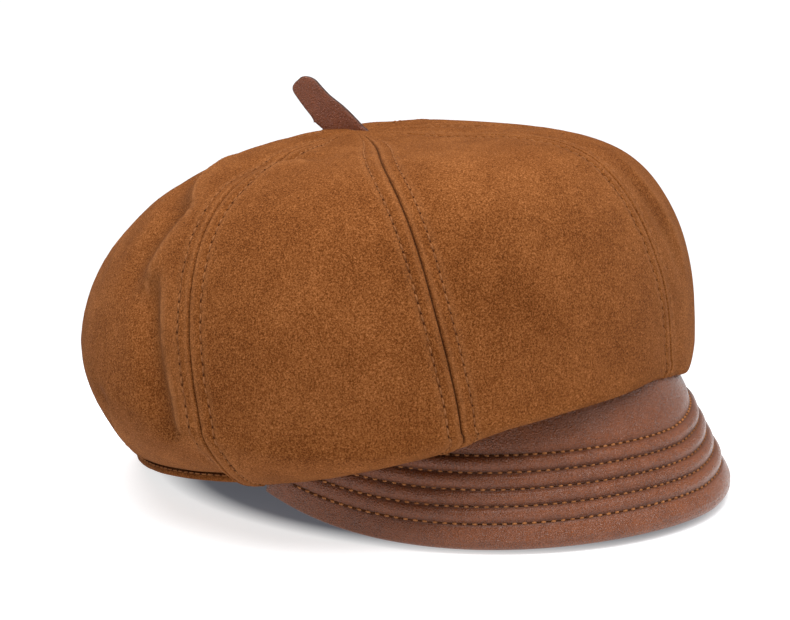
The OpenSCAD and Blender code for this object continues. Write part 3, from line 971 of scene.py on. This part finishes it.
def bill_rows(insets):
    """Flat coordinates of rows at given distances from the edge. Where the bill is narrow they close up."""
    reach = BILL_REACH[None, :]
    plain = insets[:, None] * np.ones(len(BILL_T))
    near = insets[0]
    last = np.minimum(QUILTED_DEPTH, near + (reach - near) * 0.92)
    close = near + (plain - near) * (last - near) / (QUILTED_DEPTH - near)
    far = last + (reach - last) * (plain - QUILTED_DEPTH) / (insets[-1] - QUILTED_DEPTH)
    e = np.where(plain <= QUILTED_DEPTH, close, far)
    p = inset_outline(BILL_T[None, :] * np.ones(e.shape), e)
    return e, p[..., 0], p[..., 1]


def brim_cover():
    """The leather over the bill: across the top, round the edge and a little way under."""
    e, u, v = bill_rows(TOP_INSETS)
    along = BILL_ALONG[None, :] * np.ones(e.shape)
    height, groove = quilt(e, along, u)
    thick = BILL_THICK * thinning(u[0])
    radius = thick / 2
    top = bill_point(u, v, height)
    wrap = np.linspace(78, -90, 13) * RAD
    rolls = []
    for w in wrap:
        inset = radius * (1 - np.cos(w)) * (RIM_START / (BILL_THICK / 2))
        p = inset_outline(BILL_T, inset)
        bulge = 0.35 * np.cos(w) * np.sin(np.clip(w, 0, None)) * thinning(u[0])
        rolls.append(bill_point(p[:, 0], p[:, 1], -radius + radius * np.sin(w) + bulge))
    under = []
    for inset in (3.2, 4.4, 5.6, 6.6):
        p = inset_outline(BILL_T, np.minimum(inset, BILL_REACH * 0.9))
        under.append(bill_point(p[:, 0], p[:, 1], -thick))
    outer = np.concatenate([top[::-1], np.stack(rolls), np.stack(under)])
    normals = unit(np.cross(np.gradient(outer, axis=1), np.gradient(outer, axis=0)))
    side = np.sign((normals[5] * bill_normal(u[-6], v[-6])).sum(-1).mean())
    deep = (0.8 * thinning(u[0]))[None, :, None]
    inner = outer - side * normals * deep
    points, faces = shell(outer, inner)
    marks = np.zeros((len(outer), len(BILL_T)))
    marks[: len(e)] = groove[::-1]
    marks = {"groove": np.concatenate([marks, np.zeros(marks.shape)])}
    return outward(make_piece("brim_cover", points, faces, BRIM_LEATHER, marks))


def brim_under():
    """The leather under the bill, stitched through with the same rows."""
    insets = np.concatenate([np.arange(UNDER_START, 35, 0.8), np.linspace(36, 100, 16)])
    e, u, v = bill_rows(insets)
    along = BILL_ALONG[None, :] * np.ones(e.shape)
    height, groove = quilt(e, along, u, UNDER_RELIEF)
    thick = BILL_THICK * thinning(u)
    rim = 0.25 * (1 - smooth((e - UNDER_START) / 1.6))
    outer = bill_point(u, v, -thick - height * 0.5 - 0.05 + rim)
    inner = bill_point(u, v, -thick * 0.82)
    points, faces = shell(outer, inner)
    marks = np.concatenate([groove.ravel(), np.zeros(groove.size)])
    return outward(make_piece("brim_under_leather", points, faces, SHADED_UNDER_LEATHER, {"groove": marks}))


def brim_rows(under=False):
    """The rows of stitches through the bill, as they lie on its top or under it."""
    paths = []
    for inset in ROW_INSETS:
        inside = BILL_REACH > inset + 1.0
        t = BILL_T[inside]
        p = inset_outline(t, np.full(t.shape, inset))
        u, v = p[:, 0], p[:, 1]
        height, _ = quilt(np.full(t.shape, inset), BILL_ALONG[inside], u, UNDER_RELIEF if under else 1.0)
        out = -BILL_THICK * thinning(u) - height * 0.5 - 0.05 if under else height
        normal = bill_normal(u, v) * (-1 if under else 1)
        paths.append((bill_point(u, v, out), normal))
    return paths


cover = brim_cover()
under_cover = brim_under()
brim_threads = stitches(
    "brim_stitches", brim_rows(), BRIM_THREAD, radius=0.47, pitch=3.5, gap=1.15, lift=0.34, seed=14, hole=0.74
)
under_threads = stitches(
    "brim_under_stitches",
    brim_rows(True),
    BRIM_THREAD,
    radius=0.36, pitch=3.7, gap=0.95, lift=0.25, seed=15, hole=0.5,
)
for piece, nodes, slot_name in (
    (cover, ["brim_top_cover"], "brim_leather"),
    (under_cover, ["brim_under_cover"], "brim_leather"),
    *((piece, ["brim_stitching"], "brim_thread") for piece in brim_threads + under_threads),
):
    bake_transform(piece)
    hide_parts(*nodes)


# -------- tab
def crown_top(x, y):
    """Height of the suede near the apex, behind and in front of it."""
    climb = np.linspace(60, 89.8, 120)
    behind, front = crown_point(180.0, climb), crown_point(0.0, climb)
    line = np.concatenate([behind, front[::-1]])
    order = np.argsort(line[:, 1])
    return np.interp(y, line[order, 1], line[order, 2]) - 0.6 - 0.004 * x**2


def tab_strip():
    """A folded leather strip with a cut end, sewn in behind the apex. Its flat sides face left and right."""
    length, root, tip, thick, back = 25.0, 13.0, 10.6, 2.4, 5.5
    t0, t1 = 34 * RAD, 50 * RAD
    s = np.concatenate([np.linspace(0, 0.78, 28), 0.78 + 0.22 * np.sin(np.linspace(0, 90, 18)[1:] * RAD)])
    tilt = t0 + (t1 - t0) * s
    run = length / (t1 - t0)
    y = back + run * (np.sin(tilt) - np.sin(t0))
    middle = APEX + np.stack([0 * s, y, 0.9 + run * (np.cos(t0) - np.cos(tilt))], -1)
    level = smooth(s / 0.5)
    across = unit(np.stack([0 * s, 1 - level + level * np.sin(tilt), -level * np.cos(tilt)], -1))
    width = (root + (tip - root) * s) / ((1 - level) * math.sin(t0) / 0.93 + level)
    end = np.clip((s - 0.78) / 0.22, 0, 1)
    spin = np.linspace(0, 2 * math.pi, 44, endpoint=False)
    cs, sn = np.cos(spin), np.sin(spin)
    w = (signed_power(cs, 0.55) / 2)[None, :] * width[:, None]
    # The rear corner of the end is barely rounded, the front one is cut away more
    rear = np.sqrt(np.maximum(1 - end**6.0, 0))[:, None]
    fore = (1 - 0.62 * end**1.6)[:, None] * np.sqrt(np.maximum(1 - end**7.0, 0))[:, None]
    w = np.where(cs[None, :] > 0, w * (0.35 + 0.65 * rear), w * (0.2 + 0.8 * fore))
    x = signed_power(sn, 0.45) / 2
    cup = 0.5 * (1 - cs**2)
    sideways = x[None, :] * thick * (1 - 0.35 * end[:, None] ** 3) + 0.5 * cup[None, :]
    ring = middle[:, None] + across[:, None] * w[..., None] + np.array([1.0, 0, 0]) * sideways[..., None]
    foot = ring[0].copy()
    down = np.array([0, -math.cos(t0), -math.sin(t0)])
    for _ in range(3):
        foot = foot + down * ((foot[:, 2] - crown_top(foot[:, 0], foot[:, 1]) + 0.5) / math.sin(t0))[:, None]
    skirt = [foot * (1 - t) + ring[0] * t for t in (0, 0.35, 0.7)]
    ring = np.concatenate([np.stack(skirt), ring])
    rows, cols = ring.shape[:2]
    faces = grid_faces(rows, cols, 0, True).tolist()
    faces += [list(range(cols))[::-1], list(range((rows - 1) * cols, rows * cols))]
    edge = np.abs(cs) ** 14
    end = np.concatenate([[0, 0, 0], end])
    dark = np.clip(edge[None, :] + end[:, None] ** 24, 0, 1) * 0.9
    piece = outward(make_piece("tab_strip", ring.reshape(-1, 3), faces, TAB_LEATHER, {"groove": dark}))
    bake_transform(piece)
    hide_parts("crown_tab")
    return piece


tab = tab_strip()

# CAD parts whose shapes stay, inside the bill and under the seams
for node, material in (
    ("brim_padding", FOAM),
    ("brim_board", BOARD),
    ("seam_tapes", TAPE),
    ("tab_patch", TAPE),
):
    data = frame["nodes"][node].data
    data.materials.clear()
    data.materials.append(material)


# -------- camera, floor and light
def look_from(azimuth, elevation, distance, target):
    """A placement at a distance from the target, facing it. Distances are metres."""
    a, e = azimuth * RAD, elevation * RAD
    back = Vector((math.sin(a) * math.cos(e), -math.cos(a) * math.cos(e), math.sin(e)))
    right = Vector((math.cos(a), math.sin(a), 0))
    up = back.cross(right)
    place = Matrix((right, up, back)).transposed().to_4x4()
    place.translation = Vector(target) + back * distance
    return place


camera_data = bpy.data.cameras.new("camera")
camera_data.lens = 128.4
camera_data.sensor_width = 36
camera_data.shift_x, camera_data.shift_y = 0.0106, 0.0047
camera = add_object("camera", camera_data)
crown_centre = (0, FRAME_SHIFT / 1000, 0.06)
camera.matrix_world = look_from(azimuth=-60.17, elevation=13.71, distance=1.083, target=crown_centre)
bpy.context.scene.camera = camera


LIT_POINT = (0, 0, 0.05)
front_data = bpy.data.lights.new("front_light", "AREA")
front_data.shape = "DISK"
front_data.size = 0.8
front_data.energy = 6.5
front = add_object("front_light", front_data)
front.matrix_world = look_from(azimuth=14, elevation=42, distance=1.6, target=LIT_POINT)

sun_data = bpy.data.lights.new("soft_top", "SUN")
sun_data.energy = 4.4
sun_data.angle = 55 * RAD
sun = add_object("soft_top", sun_data)
sun.matrix_world = look_from(azimuth=-80, elevation=80, distance=2.0, target=LIT_POINT)

world_data = bpy.data.worlds.new("studio")
world_data.use_nodes = True
background = world_data.node_tree.nodes["Background"]
background.inputs["Color"].default_value = (1, 1, 1, 1)
background.inputs["Strength"].default_value = 0.36
bpy.context.scene.world = world_data
bpy.context.scene.view_settings.view_transform = "Standard"

floor_nodes = Nodes("floor")
floor_dark, floor_light = (0.595, 0.605, 0.62), (0.605, 0.615, 0.63)
floor_tone = floor_nodes.ramp(floor_nodes.noise(3, 2), (0.3, floor_dark), (0.7, floor_light))
# The pale floor glows round the cap, so that the shadow stays close under it
placed = floor_nodes.tree.nodes.new("ShaderNodeMapping")
SHADOW_HALF_WIDTH, SHADOW_HALF_LENGTH = 0.087, 0.113
placed.inputs["Scale"].default_value = (1 / SHADOW_HALF_WIDTH, 1 / SHADOW_HALF_LENGTH, 0)
placed.inputs["Location"].default_value = (0, 0.09, 0)
floor_nodes.link(floor_nodes.coords, placed.inputs["Vector"])
reach = floor_nodes.tree.nodes.new("ShaderNodeVectorMath")
reach.operation = "LENGTH"
floor_nodes.link(placed.outputs["Vector"], reach.inputs[0])
away = floor_nodes.math("MULTIPLY", reach.outputs["Value"], 0.25)
GLOW_STOPS = ((0.225, (0.11, 0.115, 0.135)), (0.262, (1, 1, 1)), (0.36, (0.9, 0.9, 0.9)), (0.62, (0, 0, 0)))
glow = floor_nodes.ramp(away, *GLOW_STOPS)
floor_nodes.link(glow, floor_nodes.shader.inputs["Emission Color"])
floor_nodes.shader.inputs["Emission Strength"].default_value = 0.72
floor_material = floor_nodes.finish(floor_tone, floor_nodes.bump(floor_nodes.noise(400), 0.00005, 0.2), 0.9)
floor_mesh = bpy.data.meshes.new("floor")
FLOOR_HALF = 12
corners = [(x * FLOOR_HALF, y * FLOOR_HALF, 0) for x, y in ((-1, -1), (1, -1), (1, 1), (-1, 1))]
floor_mesh.from_pydata(corners, [], [(0, 1, 2, 3)])
floor_mesh.materials.append(floor_material)
floor = add_object("floor", floor_mesh)
floor.location = (0, 0, -0.0004)  # 0.4 mm under the cap, so that nothing shares its plane

bpy.context.view_layer.update()
